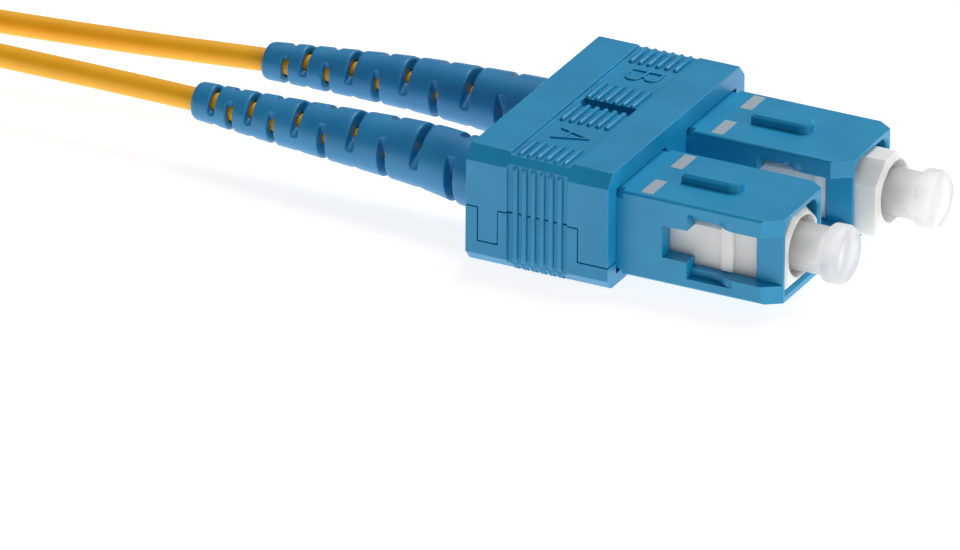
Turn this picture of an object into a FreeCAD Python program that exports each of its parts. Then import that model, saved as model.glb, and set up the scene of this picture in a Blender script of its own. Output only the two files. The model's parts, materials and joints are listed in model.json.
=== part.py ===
import FreeCAD, Part
import math
import os
import re
import Sketcher

# Duplex SC fibre connector: two push-pull plugs, A and B, side by side in a snap-together duplex clip.
# Millimetres. The origin is the centre of the clip's flat base, +X is the mating direction,
# +Y runs from plug A to plug B and +Z is up, towards the keys.

V = FreeCAD.Vector

# ---------------------------------------------------------------------------------------------
# Driving dimensions
# ---------------------------------------------------------------------------------------------

DIMENSIONS = [
    # The pair
    ("pitch", 12.7, "between the axes of the two plugs"),
    ("slide_travel", 2.1, "how far a plug slides forward in its outer housing"),
    ("slide_gap", 0.06, "between a plug frame and its outer housing, each side"),
    ("seat_gap", 0.03, "between fixed parts that fit into each other"),
    ("root_depth", 0.2, "how far a rib, key or hook starts inside what it stands on"),
    ("cut_past", 1.0, "how far a cut is drawn past the surface that it opens"),
    # Outer housing, one for each plug. Its x runs back from its mouth.
    ("grip_width", 9.0, "outer housing across"),
    ("grip_height", 7.4, "outer housing high"),
    ("grip_length", 25.0, "outer housing long"),
    ("grip_gap", 0.05, "behind an outer housing, in the clip"),
    ("grip_edge", 0.25, "rounding of the outer housing's long edges"),
    ("nose_side", 1.1, "slope of the mouth's upright corners, across"),
    ("nose_back", 1.54, "slope of the mouth's upright corners, along"),
    ("mouth_round", 1.0, "rounding of the cavity's upper corners"),
    ("mouth_bevel", 0.2, "bevel round the mouth"),
    ("key_width", 1.9, "polarity key across"),
    ("key_rise", 0.8, "polarity key above the housing"),
    ("key_front", 5.3, "mouth to the key's round end"),
    ("key_length", 5.1, "key from end to end"),
    ("key_edge", 0.2, "bevel of the key's top edges"),
    ("window_height", 4.3, "side window and the channel in front of it"),
    ("window_back", 8.13, "mouth to the window's rear end"),
    ("bridge_length", 2.4, "bar that closes the window at the mouth"),
    ("bridge_sink", 1.05, "bar's face below the housing's side"),
    ("ledge_height", 5.7, "recessed border of the window"),
    ("ledge_sink", 0.8, "border below the housing's side"),
    ("ledge_front", 6.2, "mouth to where the border starts to rise"),
    ("ledge_run", 2.2, "length of the border's ramp"),
    ("slot_back", 10.36, "mouth to the rear end of the narrow slot"),
    ("slot_height", 2.8, "narrow slot behind the window"),
    ("barb_length", 1.2, "catch behind the plug frame, along"),
    ("barb_gap", 0.05, "between the boot and the catch"),
    ("groove_inset", 3.8, "outer housing's rear end to the clip's locking groove"),
    ("groove_length", 2.0, "locking groove along"),
    ("relief_front", 13.9, "mouth to where the housing's corners are bevelled, just before the clip"),
    ("relief_size", 0.7, "bevel of the corners in the clip"),
    ("groove_depth", 0.45, "locking groove deep"),
    # Duplex clip
    ("clip_length", 12.8, "clip along X"),
    ("clip_side_wall", 1.58, "clip beside an outer housing"),
    ("clip_roof", 1.7, "clip above the outer housings"),
    ("clip_floor", 1.0, "clip below the outer housings"),
    ("clip_back_wall", 2.15, "clip behind the outer housings"),
    ("top_slope_side", 0.97, "slope of the upper long edges, across"),
    ("top_slope_drop", 1.08, "slope of the upper long edges, down"),
    ("base_slope_side", 0.76, "slope of the lower long edges, across"),
    ("base_slope_rise", 0.88, "slope of the lower long edges, up"),
    ("seam_rise", 0.33, "parting line above the plug axes"),
    ("seam_gap", 0.07, "between the two covers"),
    ("tab_reach", 2.98, "upper cover's side tabs below the parting line"),
    ("front_tab_length", 2.7, "tab at the clip's front face"),
    ("rear_tab_length", 1.75, "tab near the clip's rear face"),
    ("rear_tab_inset", 1.1, "rear tab from the clip's rear face"),
    ("band_length", 5.4, "recessed grip band along X"),
    ("band_depth", 0.25, "grip band below the surface"),
    ("band_shift", 0.4, "grip band behind the clip's middle"),
    ("rib_count", 6, "grip ribs"),
    ("rib_pitch", 0.8, "between grip ribs"),
    ("rib_width", 0.42, "grip rib along X"),
    ("rib_proud", 0.1, "grip rib above the clip's surface"),
    ("edge_rib_start", 8.4, "mid-plane to the inner end of an edge rib"),
    ("centre_rib_start", 0.5, "mid-plane to the inner end of a centre rib"),
    ("centre_rib_end", 4.1, "mid-plane to the outer end of a centre rib"),
    ("centre_slot_length", 4.7, "slot between the centre ribs, along X"),
    ("centre_slot_width", 1.5, "slot between the centre ribs, across"),
    ("hook_height", 0.4, "locking rib in a housing's groove"),
    # Plug frame. Its x runs back from its own front face, as it does for all that it carries.
    ("frame_width", 5.9, "plug frame across"),
    ("frame_above", 3.08, "plug frame above its axis"),
    ("frame_below", 2.98, "plug frame below its axis"),
    ("frame_length", 17.5, "plug frame long"),
    ("frame_slope_side", 1.9, "slope of the frame's upper corners, across"),
    ("frame_slope_drop", 1.7, "slope of the frame's upper corners, down"),
    ("frame_lead", 0.35, "bevel round the frame's front face"),
    ("frame_bore", 5.2, "bore for the adapter's sleeve"),
    ("frame_bore_depth", 6.0, "depth of that bore"),
    ("frame_web", 0.9, "wall that the ferrule's collar rests against"),
    ("frame_web_hole", 3.8, "hole for the ferrule and its mate in that wall"),
    ("chamber_bore", 4.8, "spring chamber across"),
    ("latch_front", 4.6, "frame's front to its latch bars"),
    ("latch_length", 1.0, "latch bar along"),
    ("latch_height", 4.0, "latch bar high"),
    ("latch_rise", 0.42, "latch bar above the frame's side"),
    # Ferrule and its flange
    ("ferrule_diameter", 2.5, "ceramic ferrule across"),
    ("ferrule_length", 10.5, "ceramic ferrule long"),
    ("ferrule_reach", 1.5, "ferrule in front of the plug frame"),
    ("ferrule_tip_slope", 0.4, "bevel of the ferrule's tip"),
    ("collar_diameter", 4.4, "ferrule's collar across"),
    ("collar_length", 2.6, "ferrule's collar long"),
    ("collar_notch", 0.7, "key notches of the collar, across and deep"),
    ("stem_diameter", 1.9, "tube behind the collar across"),
    ("stem_length", 3.6, "tube behind the collar long"),
    ("ferrule_give", 1.0, "how far the ferrule is pushed back when two meet"),
    # Spring
    ("spring_wire", 0.32, "spring wire across"),
    ("spring_diameter", 3.1, "spring across, at the middle of its wire"),
    ("spring_turns", 5, "turns of the spring"),
    ("spring_corners", 10, "straight runs that make a turn of the spring"),
    # Stop ring, crimp sleeve and yarn
    ("stop_plug_length", 2.7, "stop ring inside the plug frame"),
    ("stop_collar_length", 1.4, "stop ring's collar behind the frame"),
    ("stop_collar_diameter", 5.5, "stop ring's collar across"),
    ("spigot_diameter", 3.4, "stop ring's crimping spigot across"),
    ("spigot_length", 5.6, "stop ring's crimping spigot long"),
    ("stop_bore", 1.5, "stop ring's bore"),
    ("yarn_thickness", 0.25, "yarn between the spigot and the sleeve"),
    ("yarn_back", 0.4, "stop ring's collar to the yarn's cut ends"),
    ("crimp_wall", 0.3, "crimp sleeve's wall"),
    ("crimp_tail_length", 2.2, "narrow end of the crimp sleeve, on the jacket"),
    # Fibre and cable
    ("fibre_diameter", 0.9, "buffered fibre across"),
    ("cable_diameter", 2.0, "cable jacket across"),
    ("jacket_bore", 1.1, "inside of the jacket"),
    ("jacket_bore_depth", 6.2, "jacket that is modelled hollow, for the fibre's end"),
    ("jacket_gap", 0.45, "spigot to the jacket's cut end"),
    ("fibre_spare", 0.2, "room behind the fibre's end with the ferrule pushed back"),
    # Boot
    ("boot_diameter", 5.8, "boot across, at the clip"),
    ("boot_tail_diameter", 3.2, "boot across, at its cable end"),
    ("boot_stand", 1.1, "stop ring's collar to the boot's front end"),
    ("boot_straight", 10.5, "boot in front of its taper"),
    ("boot_length", 36.0, "boot from end to end"),
    ("boot_slip", 0.7, "how much less far boot B is pushed on than boot A"),
    ("boot_gap", 0.1, "between the boot and the cable or sleeve, all round"),
    ("boot_hole_gap", 0.25, "between the boot and the clip, all round"),
    ("boot_end_round", 0.4, "rounding of the boot's cable end"),
    ("cut_rows", 10, "rows of cuts in the boot"),
    ("cut_first", 2.1, "boot's cable end to the middle of the first cut"),
    ("cut_step", 1.6, "first step from cut to cut"),
    ("cut_growth", 0.104, "how each step grows, over the square of its number"),
    ("cut_width", 0.8, "cut along the boot"),
    ("cut_floor", 0.6, "boot's axis to the first cuts' flat floors, which so open into its bore"),
    ("cut_rise", 0.04, "how much further out the floors of each next row lie"),
    ("cut_turn", 25.0, "middle of boot A's first cut from the top towards -Y, in degrees"),
    # Dust cap
    ("cap_insert", 4.5, "cap inside the plug frame"),
    ("cap_tube", 4.0, "cap's tube across"),
    ("cap_neck", 2.3, "frame's front to the cap's head"),
    ("cap_head", 4.95, "cap's head across"),
    ("cap_head_length", 1.9, "cap's head long"),
    ("cap_rear_slope", 0.35, "bevel behind the head"),
    ("cap_front_slope", 0.3, "bevel of the head's front edge"),
    ("cap_clearance", 0.04, "between the cap and the ferrule, all round"),
    ("cap_room", 0.4, "between the ferrule's tip and the end of the cap's bore"),
    # Put-away cable
    ("bundle_front", 77.0, "clip's middle to the bundle's nearer end"),
    ("bundle_straight", 24.5, "straight part of the bundle's turns"),
    ("bundle_radius", 10.4, "radius of the outermost turns' ends"),
    ("strand_pitch", 2.05, "between neighbouring turns"),
    ("bundle_columns", 3, "turns beside each other"),
    ("bundle_layers", 3, "turns above each other, in each cable's bundle"),
    ("bundle_gap", 0.1, "between the two bundles"),
    ("tie_width", 6.0, "tie along X"),
    ("tie_thickness", 0.5, "tie thick"),
    ("tie_gap", 0.08, "between the tie and the bundles"),
]

doc = FreeCAD.newDocument("duplex_fibre_connector")
sheet = doc.addObject("Spreadsheet::Sheet", "dims")
for row, (alias, number, meaning) in enumerate(DIMENSIONS, start=1):
    sheet.set(f"A{row}", alias)
    sheet.set(f"B{row}", str(number))
    sheet.set(f"C{row}", meaning)
    sheet.setAlias(f"B{row}", alias)
doc.recompute()

ALIASES = {alias for alias, _, _ in DIMENSIONS}

# Lengths nearer than TOUCH are one, and a feature must change more than LEAST_CHANGE of volume.
TOUCH = 1e-4
LEAST_CHANGE = 1e-9
# A cable's bend takes this share of the shorter run beside it, and its solid's volume may differ
# by this share from its length times its section.
BEND_SHARE = 0.45
VOLUME_SHARE = 0.01
# Flat sides of the spring's wire, of the boots' bores and of each rounded end of the bundles.
WIRE_SIDES = 4
BORE_SIDES = 8
BEND_SIDES = 8


def bound(text):
    """The expression with each dimension's name turned into a reference to its cell."""
    return re.sub(r"[a-z_]+", lambda word: f"dims.{word[0]}" if word[0] in ALIASES else word[0], str(text))


def value(text):
    """What an expression of dimension names comes to."""
    return float(sheet.evalExpression(bound(text)))


# ---------------------------------------------------------------------------------------------
# Derived places, as expressions of the dimensions
# ---------------------------------------------------------------------------------------------

AXIS_HEIGHT = "(clip_floor + seat_gap + grip_height / 2)"
MOUTH_X = "(clip_back_wall + grip_gap + grip_length - clip_length / 2)"
GROOVE_BACK = "(grip_length - groove_inset)"
CAVITY_HALF = "(grip_width / 2 + seat_gap)"
CLIP_HALF = f"(pitch / 2 + {CAVITY_HALF} + clip_side_wall)"
CAVITY_TOP = f"({AXIS_HEIGHT} + grip_height / 2 + seat_gap)"
CLIP_TOP = f"({CAVITY_TOP} + clip_roof)"
SEAM = f"({AXIS_HEIGHT} + seam_rise)"
BOOT_HOLE = "(boot_diameter / 2 + boot_hole_gap)"

COLLAR_FRONT = "(frame_bore_depth + frame_web)"
COLLAR_BACK = f"({COLLAR_FRONT} + collar_length)"
CHAMBER_END = "(frame_length - stop_plug_length)"
SPIGOT_FRONT = "(frame_length + stop_collar_length)"
SPIGOT_END = f"({SPIGOT_FRONT} + spigot_length)"
JACKET_END = f"({SPIGOT_END} + jacket_gap)"
SPIGOT_RADIUS = "(spigot_diameter / 2)"
YARN_RADIUS = f"({SPIGOT_RADIUS} + seat_gap + yarn_thickness)"
CRIMP_BORE = f"({YARN_RADIUS} + seat_gap)"
CRIMP_RADIUS = f"({CRIMP_BORE} + crimp_wall)"
CRIMP_TAIL_BORE = "(cable_diameter / 2 + seat_gap)"
CRIMP_END = f"({JACKET_END} + crimp_tail_length)"
FERRULE_SEAT_END = "(ferrule_length - ferrule_reach)"
BOOT_FRONT = f"({SPIGOT_FRONT} + boot_stand)"
BOOT_END = f"({BOOT_FRONT} + boot_length)"

CAP_FRONT = "(cap_neck + cap_head_length)"
HOOK_WIDTH = "(grip_width / 2)"

BUNDLE_HEIGHT = "(cable_diameter + (bundle_layers - 1) * strand_pitch)"
BUNDLE_OUTER = "(bundle_radius + cable_diameter / 2)"
BUNDLE_INNER = "(bundle_radius - (bundle_columns - 1) * strand_pitch - cable_diameter / 2)"
BUNDLE_BASE = "(tie_thickness + tie_gap)"
UPPER_BUNDLE_BASE = f"({BUNDLE_BASE} + {BUNDLE_HEIGHT} + bundle_gap)"

# Plug A lies fully back in its housing, and plug B fully forward. Boot B is pushed on a quarter turn round.
PLUGS = {
    "a": {"side": -1, "forward": "0", "boot_back": "0", "boot_turn": 0},
    "b": {"side": 1, "forward": "slide_travel", "boot_back": "boot_slip", "boot_turn": 90},
}


# ---------------------------------------------------------------------------------------------
# Helpers
# ---------------------------------------------------------------------------------------------

def new_body(label):
    body = doc.addObject("PartDesign::Body", label)
    body.Label = label
    return body


def place(thing, x="0", y="0", z="0"):
    """Binds where a piece's own origin lies."""
    for axis, text in zip("xyz", (x, y, z)):
        thing.setExpression(f"Placement.Base.{axis}", bound(text))


def new_sketch(body, plane, offset="0"):
    """A sketch on one of the body's origin planes, moved along the plane's normal by offset."""
    sketch = body.newObject("Sketcher::SketchObject", f"{body.Label}_sketch")
    origin = [f for f in body.Origin.OriginFeatures if f.Role == f"{plane}_Plane"][0]
    sketch.AttachmentSupport = [(origin, "")]
    sketch.MapMode = "FlatFace"
    sketch.setExpression("AttachmentOffset.Base.z", bound(offset))
    return sketch


def pin(sketch, geometry, point, x, y):
    """Holds a sketch point at (x, y), both bound to the sheet."""
    for kind, text in (("DistanceX", x), ("DistanceY", y)):
        held = sketch.addConstraint(Sketcher.Constraint(kind, -1, 1, geometry, point, value(text)))
        sketch.setExpression(f"Constraints[{held}]", bound(text))


def arc_through(start, end, radius):
    """The short arc of that radius between two points: anticlockwise, or clockwise if it is negative."""
    chord = end - start
    across = V(chord.y, -chord.x, 0).normalize()
    sag = abs(radius) - math.sqrt(radius ** 2 - (chord.Length / 2) ** 2)
    middle = (start + end) * 0.5 + across * math.copysign(sag, radius)
    # A sketch keeps every arc anticlockwise.
    return Part.Arc(start, middle, end) if radius > 0 else Part.Arc(end, middle, start)


def outline(sketch, corners):
    """A closed outline. A corner is (x, y), or (x, y, radius) where an arc leads to the next corner."""
    first = sketch.GeometryCount
    count = len(corners)
    points = [V(value(c[0]), value(c[1]), 0) for c in corners]
    for index, corner in enumerate(corners):
        start, end = points[index], points[(index + 1) % count]
        curved = len(corner) == 3
        sketch.addGeometry(arc_through(start, end, value(corner[2])) if curved else Part.LineSegment(start, end))
    for index in range(count):
        # An arc runs anticlockwise, so its first point may be the outline's later one.
        ends = []
        for number in (first + index, first + (index + 1) % count):
            shape = sketch.Geometry[number]
            start = points[(number - first) % count]
            forward = (shape.StartPoint - start).Length < TOUCH
            ends.append((number, 1 if forward else 2))
        (before, start_before), (after, start_after) = ends
        sketch.addConstraint(Sketcher.Constraint("Coincident", before, 3 - start_before, after, start_after))
        pin(sketch, before, start_before, corners[index][0], corners[index][1])
        if len(corners[index]) == 3:
            radius = f"abs({corners[index][2]})"
            held = sketch.addConstraint(Sketcher.Constraint("Radius", before, value(radius)))
            sketch.setExpression(f"Constraints[{held}]", bound(radius))


def rectangle(sketch, x0, x1, y0, y1):
    outline(sketch, [(x0, y0), (x1, y0), (x1, y1), (x0, y1)])


def circle(sketch, x, y, radius):
    number = sketch.addGeometry(Part.Circle(V(value(x), value(y), 0), V(0, 0, 1), value(radius)))
    pin(sketch, number, 3, x, y)
    held = sketch.addConstraint(Sketcher.Constraint("Radius", number, value(radius)))
    sketch.setExpression(f"Constraints[{held}]", bound(radius))


def settle(body, feature, adds):
    """Recomputes, and stops if the feature failed or changed nothing."""
    before = body.Shape.Volume if not body.Shape.isNull() else 0.0
    doc.recompute()
    after = body.Shape.Volume
    if "Invalid" in feature.State or "Error" in feature.State:
        raise RuntimeError(f"{body.Label}: {feature.Name} failed: {feature.getStatusString()}")
    if (after - before) * (1 if adds else -1) <= LEAST_CHANGE:
        raise RuntimeError(f"{body.Label}: {feature.Name} changed nothing: {before} to {after}")


def sketched(body, kind, sketch, length=None, both_ways=False, backwards=False):
    """A pad or pocket of a sketch. Without a length, a pocket runs through everything."""
    feature = body.newObject(f"PartDesign::{kind}", f"{body.Label}_{kind.lower()}")
    feature.Profile = sketch
    feature.Reversed = backwards
    if both_ways:
        feature.SideType = "Symmetric"
    if length is None:
        feature.Type = "ThroughAll"
    else:
        feature.setExpression("Length", bound(length))
    settle(body, feature, kind == "Pad")
    return feature


def turned(body, corners):
    """A profile of (x, radius) corners turned about the X axis."""
    sketch = new_sketch(body, "XZ")
    outline(sketch, corners)
    feature = body.newObject("PartDesign::Revolution", f"{body.Label}_revolution")
    feature.Profile = sketch
    feature.ReferenceAxis = (sketch, ["H_Axis"])
    feature.Angle = 360
    settle(body, feature, True)


def edges_where(shape, test):
    """The names of a shape's edges whose bounding box passes the test."""
    return [f"Edge{number}" for number, edge in enumerate(shape.Edges, start=1) if test(edge.BoundBox)]


def dress(body, kind, size, edges):
    """A fillet or chamfer of those edges of the body's present tip."""
    base = body.Tip
    feature = body.newObject(f"PartDesign::{kind}", f"{body.Label}_{kind.lower()}")
    feature.Base = (base, edges)
    feature.setExpression("Radius" if kind == "Fillet" else "Size", bound(size))
    settle(body, feature, False)


# ---------------------------------------------------------------------------------------------
# Duplex clip: two covers that snap together round the rear of the outer housings
# ---------------------------------------------------------------------------------------------

def upper_profile():
    return [
        (f"-{CLIP_HALF}", SEAM),
        (CLIP_HALF, SEAM),
        (CLIP_HALF, f"{CLIP_TOP} - top_slope_drop"),
        (f"{CLIP_HALF} - top_slope_side", CLIP_TOP),
        (f"-({CLIP_HALF} - top_slope_side)", CLIP_TOP),
        (f"-{CLIP_HALF}", f"{CLIP_TOP} - top_slope_drop"),
    ]


def lower_profile():
    top = f"({SEAM} - seam_gap)"
    return [
        (f"-({CLIP_HALF} - base_slope_side)", "0"),
        (f"{CLIP_HALF} - base_slope_side", "0"),
        (CLIP_HALF, "base_slope_rise"),
        (CLIP_HALF, top),
        (f"-{CLIP_HALF}", top),
        (f"-{CLIP_HALF}", "base_slope_rise"),
    ]


def cut_cavities(body):
    """The room for the two outer housings, open at the front, and the boots' holes behind it."""
    front = "clip_length / 2"
    cavities = new_sketch(body, "YZ", front)
    holes = new_sketch(body, "YZ", front)
    for plug in PLUGS.values():
        middle = f"{plug['side']} * pitch / 2"
        rectangle(cavities, f"{middle} - {CAVITY_HALF}", f"{middle} + {CAVITY_HALF}", "clip_floor", CAVITY_TOP)
        circle(holes, middle, AXIS_HEIGHT, BOOT_HOLE)
    sketched(body, "Pocket", cavities, "clip_length - clip_back_wall")
    sketched(body, "Pocket", holes)


def cut_band(body, upper):
    """The shallow band that the grip ribs stand in, which leaves the sloped upper edges whole."""
    sketch = new_sketch(body, "YZ", "-band_shift")
    beyond = f"({CLIP_HALF} + cut_past)"
    if upper:
        floor = f"({CLIP_HALF} - band_depth)"
        rectangle(sketch, f"-{beyond}", beyond, f"{SEAM} - cut_past", f"{CLIP_TOP} + cut_past")
        rectangle(sketch, f"-{floor}", floor, f"{SEAM} - cut_past / 2", f"{CLIP_TOP} - band_depth")
    else:
        for side in ("-", "+"):
            floor = f"{side}({CLIP_HALF} - band_depth)"
            rectangle(sketch, floor, f"{side}{beyond}", "base_slope_rise / 2", f"{SEAM} + cut_past")
    sketched(body, "Pocket", sketch, "band_length", both_ways=True)


def add_ribs(body, upper):
    """The grip ribs on the sides and roof: one rib of each group, then the row of them."""
    first_rib = "-band_shift - (rib_count - 1) * rib_pitch / 2"
    sketch = new_sketch(body, "YZ", first_rib)
    outer = f"({CLIP_HALF} + rib_proud)"
    inner = f"({CLIP_HALF} - band_depth - root_depth)"
    top = f"({CLIP_TOP} + rib_proud)"
    under = f"({CLIP_TOP} - band_depth - root_depth)"
    for side in ("-", "+"):
        if upper:
            rectangle(sketch, f"{side}{inner}", f"{side}{outer}", SEAM, f"{CLIP_TOP} - top_slope_drop")
            edge = f"{side}({CLIP_HALF} - top_slope_side)"
            rectangle(sketch, f"{side}edge_rib_start", edge, under, top)
            rectangle(sketch, f"{side}centre_rib_start", f"{side}centre_rib_end", under, top)
        else:
            outline(sketch, [
                (f"{side}{outer}", f"{SEAM} - seam_gap"),
                (f"{side}{outer}", "base_slope_rise"),
                (f"{side}({outer} - base_slope_side)", "0"),
                (f"{side}({inner} - base_slope_side)", "0"),
                (f"{side}{inner}", "base_slope_rise"),
                (f"{side}{inner}", f"{SEAM} - seam_gap"),
            ])
    rib = sketched(body, "Pad", sketch, "rib_width", both_ways=True)
    row = body.newObject("PartDesign::LinearPattern", f"{body.Label}_rib_row")
    row.Originals = [rib]
    row.Direction = (sketch, ["N_Axis"])
    row.setExpression("Length", bound("(rib_count - 1) * rib_pitch"))
    row.setExpression("Occurrences", bound("rib_count"))
    body.Tip = row
    settle(body, row, True)


def tab_sketch(body, gap, past):
    """The side tabs in plan, widened by a gap and drawn past the clip's outside."""
    sketch = new_sketch(body, "XY", SEAM)
    rear = "(-clip_length / 2 + rear_tab_inset)"
    spans = [
        (f"{rear} - {gap}", f"{rear} + rear_tab_length + {gap}"),
        (f"clip_length / 2 - front_tab_length - {gap}", f"clip_length / 2 + {past}"),
    ]
    for side in ("-", "+"):
        for low, high in spans:
            inside = f"{side}({CLIP_HALF} - clip_side_wall - {gap})"
            rectangle(sketch, low, high, inside, f"{side}({CLIP_HALF} + {past})")
    return sketch


def add_hooks(body, upper):
    """The ribs inside the clip that lock into the outer housings' grooves."""
    sketch = new_sketch(body, "YZ", f"{MOUTH_X} - {GROOVE_BACK} + seat_gap")
    tip = f"{CAVITY_TOP} - hook_height" if upper else "clip_floor + hook_height"
    root = f"{CAVITY_TOP} + root_depth" if upper else "clip_floor - root_depth"
    low, high = (tip, root) if upper else (root, tip)
    for plug in PLUGS.values():
        middle = f"{plug['side']} * pitch / 2"
        rectangle(sketch, f"{middle} - {HOOK_WIDTH} / 2", f"{middle} + {HOOK_WIDTH} / 2", low, high)
    sketched(body, "Pad", sketch, "groove_length - 2 * seat_gap")


def make_clip_upper_cover():
    body = new_body("clip_upper_cover")
    block = new_sketch(body, "YZ")
    outline(block, upper_profile())
    sketched(body, "Pad", block, "clip_length", both_ways=True)
    sketched(body, "Pad", tab_sketch(body, "0", "0"), "tab_reach", backwards=True)
    cut_cavities(body)
    cut_band(body, upper=True)
    slot = new_sketch(body, "XY", SEAM)
    rectangle(
        slot,
        "-band_shift - centre_slot_length / 2", "-band_shift + centre_slot_length / 2",
        "-centre_slot_width / 2", "centre_slot_width / 2",
    )
    sketched(body, "Pocket", slot, f"{CLIP_TOP} - {SEAM} + cut_past", backwards=True)
    add_ribs(body, upper=True)
    add_hooks(body, upper=True)


def make_clip_lower_cover():
    body = new_body("clip_lower_cover")
    block = new_sketch(body, "YZ")
    outline(block, lower_profile())
    sketched(body, "Pad", block, "clip_length", both_ways=True)
    cut_cavities(body)
    cut_band(body, upper=False)
    add_ribs(body, upper=False)
    add_hooks(body, upper=False)
    sketched(body, "Pocket", tab_sketch(body, "seam_gap", "cut_past"), "tab_reach + seam_gap")


# ---------------------------------------------------------------------------------------------
# Outer housing of one plug
# ---------------------------------------------------------------------------------------------

def make_grip(name, plug):
    """The outer housing that is pushed and pulled. x = 0 is its mouth and z = 0 its axis."""
    body = new_body(f"grip_{name}")
    half = "(grip_width / 2)"
    plan = new_sketch(body, "XY")
    outline(plan, [
        ("-grip_length", f"-{half}"),
        ("-nose_back", f"-{half}"),
        ("0", f"-({half} - nose_side)"),
        ("0", f"{half} - nose_side"),
        ("-nose_back", half),
        ("-grip_length", half),
    ])
    sketched(body, "Pad", plan, "grip_height", both_ways=True)
    long_edges = edges_where(body.Shape, lambda box: box.XLength > value("grip_length / 2"))
    dress(body, "Fillet", "grip_edge", long_edges)

    # The polarity key, square behind and round in front.
    key = new_sketch(body, "XY", "grip_height / 2 - root_depth")
    key_half = "(key_width / 2)"
    round_start = f"-(key_front + {key_half})"
    outline(key, [
        ("-(key_front + key_length)", f"-{key_half}"),
        (round_start, f"-{key_half}", key_half),
        ("-key_front", "0", key_half),
        (round_start, key_half),
        ("-(key_front + key_length)", key_half),
    ])
    sketched(body, "Pad", key, "key_rise + root_depth")
    key_top = value("grip_height / 2 + key_rise")
    dress(body, "Chamfer", "key_edge", edges_where(body.Shape, lambda box: box.ZMin > key_top - TOUCH))

    # The cavity for the plug frame, with rounded upper corners.
    cavity = new_sketch(body, "YZ", "cut_past")
    wide = "(frame_width / 2 + slide_gap)"
    above = "(frame_above + slide_gap)"
    below = "(frame_below + slide_gap)"
    outline(cavity, [
        (f"-{wide}", f"-{below}"),
        (wide, f"-{below}"),
        (wide, f"{above} - mouth_round", "mouth_round"),
        (f"{wide} - mouth_round", above),
        (f"-({wide} - mouth_round)", above, "mouth_round"),
        (f"-{wide}", f"{above} - mouth_round"),
    ])
    sketched(body, "Pocket", cavity)
    reach = value(wide) + TOUCH
    dress(body, "Chamfer", "mouth_bevel", edges_where(
        body.Shape, lambda box: box.XMin > -TOUCH and box.YMax < reach and box.YMin > -reach
    ))

    # On each side: the channel in from the mouth, the window, the narrow slot and the ramped border.
    for side in ("-", "+"):
        outside = f"{side}({half} + cut_past)"
        inside = f"{side}({wide} - cut_past)"
        channel = new_sketch(body, "XY")
        rectangle(channel, "-window_back", "cut_past", f"{side}({half} - bridge_sink)", outside)
        sketched(body, "Pocket", channel, "window_height", both_ways=True)
        window = new_sketch(body, "XY")
        rectangle(window, "-window_back", "-bridge_length", inside, outside)
        sketched(body, "Pocket", window, "window_height", both_ways=True)
        slot = new_sketch(body, "XY")
        rectangle(slot, "-slot_back", "-window_back + cut_past", inside, outside)
        sketched(body, "Pocket", slot, "slot_height", both_ways=True)
        border = new_sketch(body, "XY")
        ledge = f"{side}({half} - ledge_sink)"
        bend = f"{'-1' if side == '-' else '1'} * (ledge_run ^ 2 + ledge_sink ^ 2) / (4 * ledge_sink)"
        outline(border, [
            ("-window_back", ledge),
            ("-ledge_front", ledge, bend),
            ("-(ledge_front - ledge_run / 2)", f"{side}({half} - ledge_sink / 2)", f"-1 * {bend}"),
            ("-(ledge_front - ledge_run)", f"{side}{half}"),
            ("-(ledge_front - ledge_run)", outside),
            ("-window_back", outside),
        ])
        sketched(body, "Pocket", border, "ledge_height", both_ways=True)

    # The bevelled corners in the clip.
    relief = new_sketch(body, "YZ", "-relief_front")
    for side in ("-", "+"):
        for end in ("-", "+"):
            outline(relief, [
                (f"{side}({half} - relief_size)", f"{end}(grip_height / 2 + cut_past)"),
                (f"{side}({half} - relief_size)", f"{end}grip_height / 2"),
                (f"{side}{half}", f"{end}(grip_height / 2 - relief_size)"),
                (f"{side}({half} + cut_past)", f"{end}(grip_height / 2 - relief_size)"),
                (f"{side}({half} + cut_past)", f"{end}(grip_height / 2 + cut_past)"),
            ])
    sketched(body, "Pocket", relief)

    # The catches behind the plug frame, above and below the boot.
    barbs = new_sketch(body, "YZ", "-(frame_length + seat_gap)")
    inner = "(boot_diameter / 2 + barb_gap)"
    rectangle(barbs, "-frame_width / 4", "frame_width / 4", inner, f"{above} + root_depth")
    rectangle(barbs, "-frame_width / 4", "frame_width / 4", f"-({below} + root_depth)", f"-{inner}")
    sketched(body, "Pad", barbs, "barb_length", backwards=True)

    # The clip's locking grooves, across the top and the bottom.
    grooves = new_sketch(body, "XZ")
    for side in ("-", "+"):
        rectangle(
            grooves,
            f"-{GROOVE_BACK}", f"-({GROOVE_BACK} - groove_length)",
            f"{side}(grip_height / 2 - groove_depth)", f"{side}(grip_height / 2 + cut_past)",
        )
    sketched(body, "Pocket", grooves, f"{HOOK_WIDTH} + 4 * seat_gap", both_ways=True)

    place(body, MOUTH_X, f"{plug['side']} * pitch / 2", AXIS_HEIGHT)


# ---------------------------------------------------------------------------------------------
# Plug: what slides in an outer housing. x = 0 is the plug frame's front face.
# ---------------------------------------------------------------------------------------------

def place_on_plug(thing, plug, back="0"):
    place(
        thing,
        f"{MOUTH_X} + {plug['forward']} - {back}",
        f"{plug['side']} * pitch / 2",
        AXIS_HEIGHT,
    )


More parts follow.
